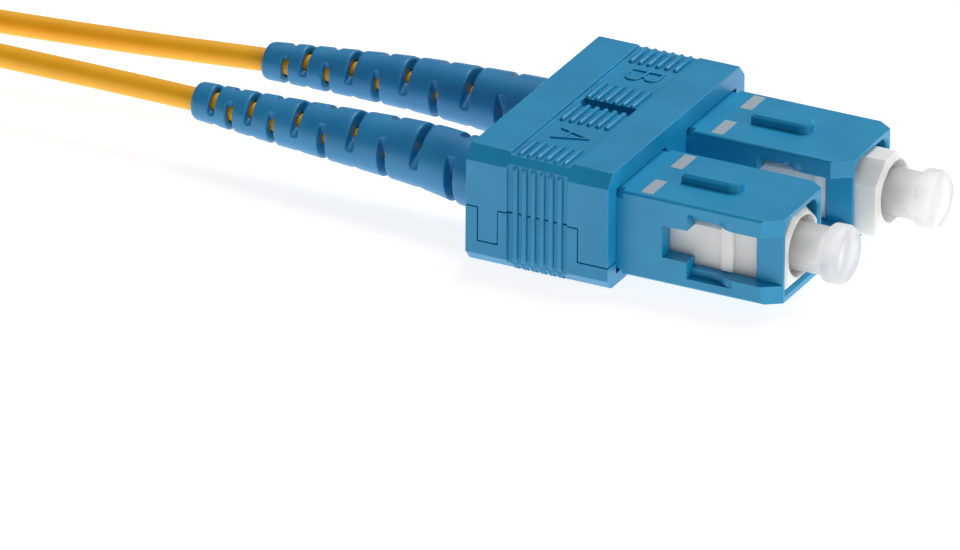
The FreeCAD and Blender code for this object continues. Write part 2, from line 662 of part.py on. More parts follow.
def make_plug_frame(name, plug):
    body = new_body(f"plug_frame_{name}")
    half = "(frame_width / 2)"
    section = new_sketch(body, "YZ")
    outline(section, [
        (f"-{half}", "-frame_below"),
        (half, "-frame_below"),
        (half, "frame_above - frame_slope_drop"),
        (f"{half} - frame_slope_side", "frame_above"),
        (f"-({half} - frame_slope_side)", "frame_above"),
        (f"-{half}", "frame_above - frame_slope_drop"),
    ])
    sketched(body, "Pad", section, "frame_length", backwards=True)
    front_edges = edges_where(body.Shape, lambda box: box.XMin > -TOUCH)
    dress(body, "Chamfer", "frame_lead", front_edges)
    latches = new_sketch(body, "XZ")
    rectangle(latches, "-(latch_front + latch_length)", "-latch_front", "-latch_height / 2", "latch_height / 2")
    sketched(body, "Pad", latches, "frame_width + 2 * latch_rise", both_ways=True)
    for depth, bore in (("frame_bore_depth", "frame_bore"), ("frame_length", "frame_web_hole")):
        hole = new_sketch(body, "YZ")
        circle(hole, "0", "0", f"{bore} / 2")
        sketched(body, "Pocket", hole, depth)
    chamber = new_sketch(body, "YZ", "-frame_length")
    circle(chamber, "0", "0", "chamber_bore / 2")
    sketched(body, "Pocket", chamber, f"frame_length - {COLLAR_FRONT}", backwards=True)
    place_on_plug(body, plug)


def make_ferrule(name, plug):
    body = new_body(f"ferrule_{name}")
    radius = "(ferrule_diameter / 2)"
    turned(body, [
        (f"-{FERRULE_SEAT_END}", "0"),
        ("ferrule_reach", "0"),
        ("ferrule_reach", f"{radius} - ferrule_tip_slope"),
        ("ferrule_reach - ferrule_tip_slope", radius),
        (f"-{FERRULE_SEAT_END}", radius),
    ])
    place_on_plug(body, plug)


def make_ferrule_flange(name, plug):
    """The collar that the ferrule is pressed into, with the tube that leads the fibre to it."""
    body = new_body(f"ferrule_flange_{name}")
    seat = f"({FERRULE_SEAT_END} + seat_gap)"
    stem_end = f"({COLLAR_BACK} + stem_length)"
    cup = "(ferrule_diameter / 2 + seat_gap)"
    fibre = "(fibre_diameter / 2 + seat_gap)"
    rim = "(collar_diameter / 2)"
    turned(body, [
        (f"-{COLLAR_FRONT}", cup),
        (f"-{COLLAR_FRONT}", rim),
        (f"-{COLLAR_BACK}", rim),
        (f"-{COLLAR_BACK}", "stem_diameter / 2"),
        (f"-{stem_end}", "stem_diameter / 2"),
        (f"-{stem_end}", fibre),
        (f"-{seat}", fibre),
        (f"-{seat}", cup),
    ])
    # Four notches round the collar hold the ferrule's turn when it is tuned.
    notches = new_sketch(body, "YZ", f"-{COLLAR_FRONT}")
    notch = ("-collar_notch / 2", "collar_notch / 2")
    for side in ("-", "+"):
        across = (f"{side}({rim} - collar_notch)", f"{side}({rim} + cut_past)")
        rectangle(notches, *across, *notch)
        rectangle(notches, *notch, *across)
    sketched(body, "Pocket", notches, "collar_length")
    place_on_plug(body, plug)


def make_fibre(name, plug):
    """The buffered fibre, from behind the ferrule into the cable's jacket."""
    start = f"({FERRULE_SEAT_END} + 2 * seat_gap)"
    end = f"({JACKET_END} + jacket_bore_depth - ferrule_give - fibre_spare)"
    fibre = doc.addObject("Part::Cylinder", f"buffered_fibre_{name}")
    fibre.Label = f"buffered_fibre_{name}"
    fibre.setExpression("Radius", bound("fibre_diameter / 2"))
    fibre.setExpression("Height", bound(f"{end} - {start}"))
    fibre.Placement.Rotation = FreeCAD.Rotation(V(0, 1, 0), -90)
    place(fibre, f"{MOUTH_X} + {plug['forward']} - {start}", f"{plug['side']} * pitch / 2", AXIS_HEIGHT)


def make_spring(name, plug):
    """The coiled spring between the ferrule's collar and the stop ring, wound in short straight runs."""
    start = value(f"{COLLAR_BACK} + spring_wire / 2 + 2 * seat_gap")
    length = value(f"{CHAMBER_END} - {COLLAR_BACK} - spring_wire - 4 * seat_gap")
    radius = value("spring_diameter / 2")
    corners = int(value("spring_corners"))
    runs = corners * int(value("spring_turns"))
    turn = 2 * math.pi / corners
    nodes = [
        V(-start - length * corner / runs, radius * math.cos(turn * corner), radius * math.sin(turn * corner))
        for corner in range(runs + 1)
    ]
    wire = doc.addObject("Part::RegularPolygon", f"spring_wire_{name}")
    wire.Polygon = WIRE_SIDES
    wire.setExpression("Circumradius", bound("spring_wire / 2"))
    wire.Placement = FreeCAD.Placement(nodes[0], FreeCAD.Rotation(V(0, 0, 1), nodes[1] - nodes[0]))
    path = doc.addObject("Part::Polygon", f"spring_path_{name}")
    path.Nodes = nodes
    spring = doc.addObject("Part::Sweep", f"spring_{name}")
    spring.Label = f"ferrule_spring_{name}"
    spring.Sections = [wire]
    spring.Spine = (path, [])
    spring.Solid = True
    spring.Transition = "Right corner"
    place_on_plug(spring, plug)


def make_stop_ring(name, plug):
    """The turned ring that closes the frame, backs the spring and carries the crimp."""
    body = new_body(f"stop_ring_{name}")
    bore = "(stop_bore / 2)"
    rim = "(stop_collar_diameter / 2)"
    turned(body, [
        (f"-{CHAMBER_END}", bore),
        (f"-{CHAMBER_END}", "chamber_bore / 2 - seat_gap"),
        ("-(frame_length + seat_gap)", "chamber_bore / 2 - seat_gap"),
        ("-(frame_length + seat_gap)", rim),
        (f"-{SPIGOT_FRONT}", rim),
        (f"-{SPIGOT_FRONT}", SPIGOT_RADIUS),
        (f"-{SPIGOT_END}", SPIGOT_RADIUS),
        (f"-{SPIGOT_END}", bore),
    ])
    place_on_plug(body, plug)


def make_yarn(name, plug):
    """The aramid yarn, spread round the spigot and held under the crimp."""
    body = new_body(f"aramid_yarn_{name}")
    inner = f"({SPIGOT_RADIUS} + seat_gap)"
    front = f"({SPIGOT_FRONT} + yarn_back)"
    end = f"({JACKET_END} - seat_gap)"
    turned(body, [
        (f"-{front}", inner),
        (f"-{front}", YARN_RADIUS),
        (f"-{end}", YARN_RADIUS),
        (f"-{end}", inner),
    ])
    place_on_plug(body, plug)


def make_crimp_sleeve(name, plug):
    """The stepped sleeve, crimped on the yarn in front and on the jacket behind."""
    body = new_body(f"crimp_sleeve_{name}")
    front = f"({SPIGOT_FRONT} + seat_gap)"
    tail = f"({CRIMP_TAIL_BORE} + crimp_wall)"
    turned(body, [
        (f"-{front}", CRIMP_BORE),
        (f"-{front}", CRIMP_RADIUS),
        (f"-({JACKET_END} + crimp_wall)", CRIMP_RADIUS),
        (f"-({JACKET_END} + crimp_wall)", tail),
        (f"-{CRIMP_END}", tail),
        (f"-{CRIMP_END}", CRIMP_TAIL_BORE),
        (f"-{JACKET_END}", CRIMP_TAIL_BORE),
        (f"-{JACKET_END}", CRIMP_BORE),
    ])
    place_on_plug(body, plug)


def make_boot(name, plug):
    """The ribbed strain relief: a tapered tube with opposite cuts, each row a quarter turn on."""
    body = new_body(f"boot_{name}")
    sleeve = f"({CRIMP_RADIUS} + boot_gap)"
    sleeve_end = f"({CRIMP_END} + boot_gap)"
    tail = "(boot_tail_diameter / 2)"
    turned(body, [
        (f"-{BOOT_FRONT}", sleeve),
        (f"-{BOOT_FRONT}", "boot_diameter / 2"),
        (f"-({BOOT_FRONT} + boot_straight)", "boot_diameter / 2"),
        (f"-({BOOT_END} - boot_end_round)", tail),
        (f"-{BOOT_END}", f"{tail} - boot_end_round"),
        (f"-{BOOT_END}", "0"),
        (f"-{sleeve_end}", "0"),
        (f"-{sleeve_end}", sleeve),
    ])
    # Behind the sleeve the bore has flats, which touch the cable's jacket along eight lines.
    bore = new_sketch(body, "YZ", f"-{sleeve_end}")
    corner = f"((cable_diameter / 2 + boot_gap) / {math.cos(math.pi / BORE_SIDES):.6f})"
    outline(bore, [
        (f"{corner} * {math.cos(turn):.6f}", f"{corner} * {math.sin(turn):.6f}")
        for turn in (math.pi * (2 * flat + 1) / BORE_SIDES for flat in range(BORE_SIDES))
    ])
    sketched(body, "Pocket", bore)
    for row in range(int(value("cut_rows"))):
        middle = f"({BOOT_END} - cut_first - {row} * cut_step - {row ** 2} * cut_growth)"
        for half_turn in (0, 180):
            cut = body.newObject("PartDesign::SubtractiveBox", f"{body.Label}_cut")
            cut.setExpression("Length", bound("cut_width"))
            cut.setExpression("Width", bound("2 * boot_diameter"))
            cut.setExpression("Height", bound("boot_diameter"))
            turn = half_turn + 90 * (row % 2) + plug["boot_turn"] + value("cut_turn")
            cut.Placement.Rotation = FreeCAD.Rotation(V(1, 0, 0), turn)
            corner = cut.Placement.Rotation.multVec(V(0, -value("boot_diameter"), value(f"cut_floor + {row} * cut_rise")))
            cut.Placement.Base = corner
            cut.setExpression("Placement.Base.x", bound(f"-{middle} - cut_width / 2"))
            settle(body, cut, False)
    place_on_plug(body, plug, plug["boot_back"])


def make_dust_cap(name, plug):
    body = new_body(f"dust_cap_{name}")
    bore = "(ferrule_diameter / 2 + cap_clearance)"
    tube = "(cap_tube / 2)"
    head = "(cap_head / 2)"
    turned(body, [
        ("-cap_insert", bore),
        ("-cap_insert", tube),
        ("cap_neck", tube),
        ("cap_neck + cap_rear_slope", head),
        (f"{CAP_FRONT} - cap_front_slope", head),
        (CAP_FRONT, f"{head} - cap_front_slope"),
        (CAP_FRONT, "0"),
        ("ferrule_reach + cap_room", "0"),
        ("ferrule_reach + cap_room", bore),
    ])
    place_on_plug(body, plug)


# ---------------------------------------------------------------------------------------------
# Cables: each leaves its boot, runs free for a while and is put away in a tied bundle
# ---------------------------------------------------------------------------------------------

# The free stretch's turning points behind each boot, in the part's own frame. The first point, in
# the plug, and the last, where the bundle's outermost turn takes over, follow from the sizes.
FREE_RUN = {
    "a": [(-44.0, -6.35, 4.73), (-64.0, -5.4, 4.4), (-80.5, -8.6, 2.0)],
    "b": [(-43.0, 6.35, 4.73), (-61.0, 4.6, 5.6), (-75.5, 6.4, 8.6)],
}


def rounded_path(name, points):
    """Straight runs joined by tangent arcs, each as large as its two runs allow."""
    edges = []
    start = points[0]
    for before, corner, after in zip(points, points[1:], points[2:]):
        arriving = (corner - before).normalize()
        leaving = (after - corner).normalize()
        half_turn = arriving.getAngle(leaving) / 2
        reach = BEND_SHARE * min((corner - before).Length, (after - corner).Length)
        arc_start = corner - arriving * reach
        arc_end = corner + leaving * reach
        inward = (leaving - arriving).normalize()
        radius = reach / math.tan(half_turn)
        middle = corner + inward * (radius / math.cos(half_turn) - radius)
        edges.append(Part.LineSegment(start, arc_start).toShape())
        edges.append(Part.Arc(arc_start, middle, arc_end).toShape())
        print(f"cable {name}: radius {radius:.1f}")
        start = arc_end
    edges.append(Part.LineSegment(start, points[-1]).toShape())
    return Part.Wire(edges)


def make_cable(name, plug, base):
    side = plug["side"]
    front = V(*map(value, (f"{MOUTH_X} + {plug['forward']} - {JACKET_END}", f"{side} * pitch / 2", AXIS_HEIGHT)))
    end = V(*map(value, (
        f"-(bundle_front + {BUNDLE_OUTER})", f"{side} * bundle_radius", f"{base} + cable_diameter / 2"
    )))
    path = rounded_path(name, [front] + [V(*point) for point in FREE_RUN[name]] + [end])
    radius = value("cable_diameter / 2")
    section = Part.Wire(Part.Circle(front, V(1, 0, 0), radius).toShape())
    jacket = path.makePipeShell([section], True, True)
    expected = math.pi * radius ** 2 * path.Length
    if abs(jacket.Volume / expected - 1) > VOLUME_SHARE:
        raise RuntimeError(f"cable {name}: volume {jacket.Volume:.1f} is not {expected:.1f}")
    # The jacket is open in front for the fibre's end, which moves in it.
    hollow = Part.makeCylinder(value("jacket_bore / 2"), value("jacket_bore_depth"), front, V(-1, 0, 0))
    cable = doc.addObject("Part::Feature", f"cable_{name}")
    cable.Label = f"cable_{name}"
    cable.Shape = jacket.cut(hollow)


def make_bundle(name, base):
    """The outer shape of a cable's put-away turns: long loops side by side and in layers."""
    body = new_body(f"cable_bundle_{name}")
    near = f"-(bundle_front + {BUNDLE_OUTER})"
    far = f"-(bundle_front + {BUNDLE_OUTER} + bundle_straight)"
    plan = new_sketch(body, "XY")
    turns = [math.pi * (step / BEND_SIDES - 0.5) for step in range(BEND_SIDES + 1)]
    for radius in (BUNDLE_OUTER, BUNDLE_INNER):
        outline(plan, [
            (f"{near} + {radius} * {math.cos(turn):.6f}", f"{radius} * {math.sin(turn):.6f}") for turn in turns
        ] + [
            (f"{far} - {radius} * {math.cos(turn):.6f}", f"-{radius} * {math.sin(turn):.6f}") for turn in turns
        ])
    sketched(body, "Pad", plan, BUNDLE_HEIGHT)
    place(body, z=base)


def make_tie():
    """The strap round one side of both bundles."""
    body = new_body("cable_tie")
    low = "tie_thickness"
    high = f"({UPPER_BUNDLE_BASE} + {BUNDLE_HEIGHT} + tie_gap)"
    far_side = f"({BUNDLE_OUTER} + tie_gap)"
    near_side = f"({BUNDLE_INNER} - tie_gap)"
    middle = f"-(bundle_front + {BUNDLE_OUTER} + bundle_straight / 2)"
    loop = new_sketch(body, "YZ", middle)
    rectangle(
        loop, f"-({far_side} + tie_thickness)", f"-({near_side} - tie_thickness)", "0", f"{high} + tie_thickness"
    )
    rectangle(loop, f"-{far_side}", f"-{near_side}", low, high)
    sketched(body, "Pad", loop, "tie_width", both_ways=True)


# ---------------------------------------------------------------------------------------------
# The whole connector
# ---------------------------------------------------------------------------------------------

make_clip_upper_cover()
make_clip_lower_cover()
for name, plug in PLUGS.items():
    make_grip(name, plug)
    make_plug_frame(name, plug)
    make_ferrule(name, plug)
    make_ferrule_flange(name, plug)
    make_fibre(name, plug)
    make_spring(name, plug)
    make_stop_ring(name, plug)
    make_yarn(name, plug)
    make_crimp_sleeve(name, plug)
    make_boot(name, plug)
    make_dust_cap(name, plug)
    bundle_base = BUNDLE_BASE if name == "a" else UPPER_BUNDLE_BASE
    make_cable(name, plug, bundle_base)
    make_bundle(name, bundle_base)
make_tie()
doc.recompute()

PIECES = ["clip_upper_cover", "clip_lower_cover", "cable_tie"]
for name in PLUGS:
    PIECES += [f"{piece}_{name}" for piece in (
        "grip", "plug_frame", "ferrule", "ferrule_flange", "buffered_fibre", "ferrule_spring",
        "stop_ring", "aramid_yarn", "crimp_sleeve", "boot", "dust_cap", "cable", "cable_bundle",
    )]

for thing in doc.Objects:
    if "Invalid" in thing.State or "Error" in thing.State:
        raise RuntimeError(f"{thing.Label} did not compute: {thing.State}")

os.makedirs("parts", exist_ok=True)
for label in PIECES:
    piece = doc.getObjectsByLabel(label)[0]
    shape = piece.Shape
    if shape.isNull() or not shape.isValid() or len(shape.Solids) != 1:
        raise RuntimeError(f"{label} is not one valid solid")
    shape.exportStep(f"parts/{label}.step")
print(f"{len(PIECES)} pieces")
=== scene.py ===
import json
import math

import bmesh
import bpy
from mathutils import Euler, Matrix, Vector


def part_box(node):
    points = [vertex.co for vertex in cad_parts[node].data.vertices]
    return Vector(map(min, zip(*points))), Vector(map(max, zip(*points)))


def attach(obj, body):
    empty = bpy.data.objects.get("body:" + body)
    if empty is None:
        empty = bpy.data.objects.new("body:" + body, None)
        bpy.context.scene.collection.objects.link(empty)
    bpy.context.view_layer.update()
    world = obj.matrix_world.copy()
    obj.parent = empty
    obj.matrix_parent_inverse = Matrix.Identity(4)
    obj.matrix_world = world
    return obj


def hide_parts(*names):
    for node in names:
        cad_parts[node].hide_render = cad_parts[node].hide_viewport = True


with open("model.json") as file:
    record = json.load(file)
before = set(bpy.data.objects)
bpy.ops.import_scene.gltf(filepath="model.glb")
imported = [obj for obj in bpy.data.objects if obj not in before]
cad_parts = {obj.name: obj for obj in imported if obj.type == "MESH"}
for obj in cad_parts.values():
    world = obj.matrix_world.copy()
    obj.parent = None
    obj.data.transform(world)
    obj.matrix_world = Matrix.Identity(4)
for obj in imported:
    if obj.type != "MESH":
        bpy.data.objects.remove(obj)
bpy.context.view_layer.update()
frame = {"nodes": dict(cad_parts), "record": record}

# Looks of a duplex SC fibre connector. Metres, in the part's own frame: +X is the mating direction,
# +Y runs from plug A to plug B, +Z is up, and the floor is at z = 0.

MM = 0.001
BODY_OF = {node: body for body, nodes in frame["record"]["behaviour"]["bodies"].items() for node in nodes}
SIDES = {"a": -1, "b": 1}

AXIS_Z = (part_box("ferrule_a")[0].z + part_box("ferrule_a")[1].z) / 2
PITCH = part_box("ferrule_b")[1].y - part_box("ferrule_a")[1].y
MOUTH_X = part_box("grip_a")[1].x


def on_axis(side):
    """The y of a plug's axis."""
    return side * PITCH / 2


# ---------------------------------------------------------------------------------------------
# Materials
# ---------------------------------------------------------------------------------------------

GRAIN_DEPTH = 0.004 * MM


def srgb(red, green, blue):
    """A colour as it is seen, from 0 to 255, as the shader wants it."""
    def linear(level):
        level /= 255
        return level / 12.92 if level <= 0.04045 else ((level + 0.055) / 1.055) ** 2.4
    return (linear(red), linear(green), linear(blue), 1.0)


def blank_material(name):
    material = bpy.data.materials.new(name)
    material.use_nodes = True
    nodes, links = material.node_tree.nodes, material.node_tree.links
    return material, nodes, links, nodes["Principled BSDF"]


def noise(nodes, links, scale, detail=3.0, roughness=0.5):
    """A noise over the object's own coordinates, scale in lumps per metre."""
    place = nodes.new("ShaderNodeTexCoord")
    texture = nodes.new("ShaderNodeTexNoise")
    texture.inputs["Scale"].default_value = scale
    texture.inputs["Detail"].default_value = detail
    texture.inputs["Roughness"].default_value = roughness
    links.new(place.outputs["Object"], texture.inputs["Vector"])
    return texture


def squeezed_noise(nodes, links, scale, squeeze):
    """A noise squeezed along X, or drawn out along it when squeeze is less than 1."""
    place = nodes.new("ShaderNodeTexCoord")
    mapping = nodes.new("ShaderNodeMapping")
    mapping.inputs["Scale"].default_value = (squeeze, 1.0, 1.0)
    texture = nodes.new("ShaderNodeTexNoise")
    texture.inputs["Scale"].default_value = scale
    links.new(place.outputs["Object"], mapping.inputs["Vector"])
    links.new(mapping.outputs["Vector"], texture.inputs["Vector"])
    return texture


def shade_between(nodes, links, texture, dark, light, low=0.35, high=0.65):
    """A ramp from dark to light over the texture's levels from low to high."""
    ramp = nodes.new("ShaderNodeValToRGB")
    ramp.color_ramp.elements[0].position = low
    ramp.color_ramp.elements[0].color = dark
    ramp.color_ramp.elements[1].position = high
    ramp.color_ramp.elements[1].color = light
    links.new(texture.outputs["Fac"], ramp.inputs["Fac"])
    return ramp


def bumped(nodes, links, shader, texture, depth, strength):
    """Raises the surface by depth where the texture is bright."""
    bump = nodes.new("ShaderNodeBump")
    bump.inputs["Distance"].default_value = depth
    bump.inputs["Strength"].default_value = strength
    links.new(texture.outputs["Fac"], bump.inputs["Height"])
    links.new(bump.outputs["Normal"], shader.inputs["Normal"])


def moulded(name, dark, light, roughness, grain=6000, strength=0.35, glow_through=0.0):
    """Moulded plastic: a faint cloudiness in the colour and a fine spark-eroded grain."""
    material, nodes, links, shader = blank_material(name)
    cloud = noise(nodes, links, scale=260, detail=2.0)
    ramp = shade_between(nodes, links, cloud, dark, light)
    links.new(ramp.outputs["Color"], shader.inputs["Base Color"])
    shader.inputs["Roughness"].default_value = roughness
    shader.inputs["Subsurface Weight"].default_value = glow_through
    shader.inputs["Subsurface Radius"].default_value = (1.0, 1.0, 1.0)
    shader.inputs["Subsurface Scale"].default_value = 1.5 * MM
    bumped(nodes, links, shader, noise(nodes, links, scale=grain, detail=4.0), GRAIN_DEPTH, strength)
    return material


def metal(name, colour, roughness, squeeze):
    """Turned or drawn metal with fine marks round the X axis."""
    material, nodes, links, shader = blank_material(name)
    marks = squeezed_noise(nodes, links, 900, squeeze)
    shader.inputs["Base Color"].default_value = colour
    shader.inputs["Metallic"].default_value = 1.0
    smooth, rough = ((roughness * share,) * 3 + (1,) for share in (0.7, 1.3))
    ramp = shade_between(nodes, links, marks, smooth, rough)
    links.new(ramp.outputs["Color"], shader.inputs["Roughness"])
    bumped(nodes, links, shader, marks, 0.002 * MM, 0.4)
    return material


def cap_plastic():
    """Soft translucent plastic that lets some light through."""
    material, nodes, links, shader = blank_material("cap_translucent")
    cloud = noise(nodes, links, scale=500, detail=2.0)
    ramp = shade_between(nodes, links, cloud, srgb(239, 238, 238), srgb(246, 245, 245))
    links.new(ramp.outputs["Color"], shader.inputs["Base Color"])
    shader.inputs["Roughness"].default_value = 0.38
    shader.inputs["IOR"].default_value = 1.35
    shader.inputs["Transmission Weight"].default_value = 0.6
    shader.inputs["Alpha"].default_value = 0.86
    shader.inputs["Subsurface Weight"].default_value = 0.5
    shader.inputs["Subsurface Radius"].default_value = (1.0, 1.0, 1.0)
    shader.inputs["Subsurface Scale"].default_value = 1.5 * MM
    bumped(nodes, links, shader, noise(nodes, links, scale=2500), GRAIN_DEPTH, 0.3)
    return material


def worn_paint():
    """Thin pale paint that the moulded grain shows through in specks."""
    material, nodes, links, shader = blank_material("mark_white")
    specks = noise(nodes, links, scale=9000, detail=4.0, roughness=0.7)
    ramp = shade_between(nodes, links, specks, srgb(105, 138, 155), srgb(172, 181, 188), low=0.38, high=0.52)
    links.new(ramp.outputs["Color"], shader.inputs["Base Color"])
    shader.inputs["Roughness"].default_value = 0.6
    bumped(nodes, links, shader, specks, 0.01 * MM, 0.5)
    return material


def yarn_fibres():
    """Fine straight fibres along X."""
    material, nodes, links, shader = blank_material("aramid_yarn")
    fibres = squeezed_noise(nodes, links, 12000, 0.05)
    ramp = shade_between(nodes, links, fibres, srgb(190, 150, 50), srgb(240, 215, 120))
    links.new(ramp.outputs["Color"], shader.inputs["Base Color"])
    shader.inputs["Roughness"].default_value = 0.45
    bumped(nodes, links, shader, fibres, 0.02 * MM, 0.8)
    return material


def loop_fabric():
    """The napped face of a hook-and-loop tie."""
    material, nodes, links, shader = blank_material("tie_fabric")
    nap = noise(nodes, links, scale=4500, detail=6.0, roughness=0.7)
    ramp = shade_between(nodes, links, nap, srgb(14, 14, 16), srgb(52, 52, 56))
    links.new(ramp.outputs["Color"], shader.inputs["Base Color"])
    shader.inputs["Roughness"].default_value = 0.9
    shader.inputs["Sheen Weight"].default_value = 0.4
    bumped(nodes, links, shader, nap, 0.12 * MM, 0.9)
    return material


MATERIALS = {
    "clip_blue": moulded("clip_blue", srgb(10, 134, 183), srgb(16, 142, 190), 0.38),
    "grip_blue": moulded("grip_blue", srgb(12, 138, 186), srgb(18, 146, 193), 0.36),
    "boot_blue": moulded(
        "boot_blue", srgb(22, 124, 178), srgb(30, 134, 187), 0.42, grain=4000, strength=0.5,
    ),
    "frame_white": moulded("frame_white", srgb(240, 238, 232), srgb(246, 244, 239), 0.42, glow_through=0.6),
    "ferrule_ceramic": moulded(
        "ferrule_ceramic", srgb(238, 236, 228), srgb(246, 244, 238), 0.12, strength=0.05,
    ),
    "fibre_buffer": moulded("fibre_buffer", srgb(236, 236, 232), srgb(244, 244, 240), 0.35),
    "cable_yellow": moulded(
        "cable_yellow", srgb(250, 176, 9), srgb(255, 184, 18), 0.45, grain=3000, strength=0.5,
    ),
    "mark_white": worn_paint(),
    "plated_metal": metal("plated_metal", srgb(214, 212, 205), 0.28, 12),
    "crimp_metal": metal("crimp_metal", srgb(222, 224, 226), 0.35, 6),
    "spring_steel": metal("spring_steel", srgb(200, 203, 207), 0.22, 1),
    "cap_translucent": cap_plastic(),
    "aramid_yarn": yarn_fibres(),
    "tie_fabric": loop_fabric(),
}


# ---------------------------------------------------------------------------------------------
# Pieces
# ---------------------------------------------------------------------------------------------

# Two places this near each other are the same place.
NEAR = 0.002 * MM
MERGED = 0.001 * MM
# Faces that meet at less than this are one flat face.
FLAT_ANGLE = math.radians(0.5)
# Edges that turn more than this are sharp, and get rounded.
LEAST_ANGLE = math.radians(25)
# Degrees. Edges of a finished piece that turn less than this are shaded smooth.
SMOOTH_ANGLE = 35


def add_object(name, data):
    """An object of the scene that shows the data."""
    made = bpy.data.objects.new(name, data)
    bpy.context.collection.objects.link(made)
    return made


def mesh_of(name, shape):
    """The mesh that a bmesh holds. The bmesh is used up."""
    mesh = bpy.data.meshes.new(name)
    shape.to_mesh(mesh)
    shape.free()
    return mesh


def evaluated_mesh(holder):
    """A new mesh of what an object shows, its modifiers and curves worked out."""
    bpy.context.view_layer.update()
    return bpy.data.meshes.new_from_object(holder.evaluated_get(bpy.context.evaluated_depsgraph_get()))


def add_piece(name, mesh, material, body, smooth_angle=None):
    """A piece of one material that rides on a body."""
    piece = add_object(name, mesh)
    mesh.materials.clear()
    mesh.materials.append(MATERIALS[material])
    if smooth_angle is not None:
        mesh.shade_smooth()
        mesh.set_sharp_from_angle(angle=math.radians(smooth_angle))
    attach(piece, body)
    return piece


def paint_frame():
    """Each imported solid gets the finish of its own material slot."""
    for entry in frame["record"]["subparts"]:
        solid = frame["nodes"][entry["node"]]
        solid.data.materials.clear()
        solid.data.materials.append(MATERIALS[entry["material_slot"]])


def slot_of(node):
    return next(entry["material_slot"] for entry in frame["record"]["subparts"] if entry["node"] == node)


def joined_copy(node):
    """A closed mesh of a solid, its flat faces whole again, in a bmesh."""
    mesh = bmesh.new()
    mesh.from_mesh(frame["nodes"][node].data)
    bmesh.ops.remove_doubles(mesh, verts=mesh.verts, dist=MERGED)
    bmesh.ops.dissolve_limit(mesh, angle_limit=FLAT_ANGLE, verts=mesh.verts, edges=mesh.edges)
    return mesh


def round_edges(shape, width, segments):
    """Rounds the sharp edges of a bmesh."""
    sharp = [
        edge for edge in shape.edges if len(edge.link_faces) == 2 and edge.calc_face_angle() > LEAST_ANGLE
    ]
    bmesh.ops.bevel(
        shape, geom=sharp, offset=width, offset_type="OFFSET", segments=segments, profile=0.5,
        affect="EDGES", clamp_overlap=True,
    )


def moulded_piece(node, shape):
    """The finished mesh, which stands for the node."""
    name = f"{node}_moulded"
    piece = add_piece(name, mesh_of(name, shape), slot_of(node), BODY_OF[node], SMOOTH_ANGLE)
    even = piece.modifiers.new("flat faces stay flat", "WEIGHTED_NORMAL")
    even.weight = 100
    even.keep_sharp = True
    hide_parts(node)


def soften_edges(node, width, segments=2):
    """Replaces a moulded solid with the same form whose sharp edges are slightly rounded."""
    shape = joined_copy(node)
    round_edges(shape, width, segments)
    moulded_piece(node, shape)


# ---------------------------------------------------------------------------------------------
# Clip: its covers with half-round grip ribs
# ---------------------------------------------------------------------------------------------

RIB_COUNT, RIB_PITCH, RIB_HALF = 6, 0.8 * MM, 0.26 * MM
# The solid's ribs stand about this x, in a band this long each way. Their tops stand proud of the
# clip's faces, and their roots go deeper than the band's floor.
RIB_MIDDLE = -0.4 * MM
BAND_HALF = 2.7 * MM
BAND_SINK = 0.25 * MM
RIB_PROUD = 0.1 * MM
RIB_ROOT = 0.2 * MM
SLOT_HALF = 0.75 * MM
# On a side, what lies less than this inside the band's floor moves with the band.
SIDE_REACH = 0.6 * MM
# The band with its ribs sits this much nearer the mouth than on the solid.
BAND_SHIFT = 0.4 * MM
# A half-round rib is this high above the band's floor, and its foot is sunk into it.
RIB_HEIGHT = 0.27 * MM
RIB_FOOT = 0.06 * MM
RIB_SIDES = 8
RIB_END_TURNS = [math.radians(turn) for turn in (15, 38, 62, 90)]
# The roof's ribs stand in two groups on each side of the middle, from here to there along Y.
RIB_SPANS = ((0.58 * MM, 4.1 * MM), (8.4 * MM, 11.6 * MM))
# The sides' ribs run from near the clip's underside up to its slope. The seam cuts through them.
SIDE_RIB_LOW, SIDE_RIB_HIGH = 0.8 * MM, 9.2 * MM
SEAM_LOW, SEAM_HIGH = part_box("clip_lower_cover")[1].z, 5.06 * MM
COVER_EDGE = 0.09 * MM


def is_upper(node):
    """Whether a cover of the clip is its upper one."""
    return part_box(node)[1].z > AXIS_Z * 1.5


def band_floors(node):
    """How far out the floor of the ribbed band is, on the roof and on the sides."""
    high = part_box(node)[1]
    return high.z - RIB_PROUD - BAND_SINK, high.y - RIB_PROUD - BAND_SINK


def clear_band(shape, node):
    """Takes the solid's square ribs away and moves the band."""
    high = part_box(node)[1]
    upper = is_upper(node)
    floor_z, floor_y = band_floors(node)
    root_z = floor_z - RIB_ROOT
    for vertex in shape.verts:
        place = vertex.co
        on_roof = upper and place.z > root_z - NEAR
        in_slot = upper and abs(place.y) < SLOT_HALF + NEAR
        on_side = abs(place.y) > floor_y - SIDE_REACH
        if abs(place.x - RIB_MIDDLE) > BAND_HALF + NEAR or not (on_roof or in_slot or on_side):
            continue
        if on_roof and (abs(place.z - high.z) < NEAR or abs(place.z - root_z) < NEAR):
            place.z = floor_z
            place.y = math.copysign(max(abs(place.y), SLOT_HALF), place.y)
        if abs(abs(place.y) - high.y) < NEAR:
            place.y = math.copysign(floor_y, place.y)
        place.x += BAND_SHIFT
    bmesh.ops.remove_doubles(shape, verts=shape.verts, dist=MERGED)
    bmesh.ops.dissolve_degenerate(shape, edges=shape.edges, dist=MERGED)
    bmesh.ops.dissolve_limit(shape, angle_limit=FLAT_ANGLE, verts=shape.verts, edges=shape.edges)


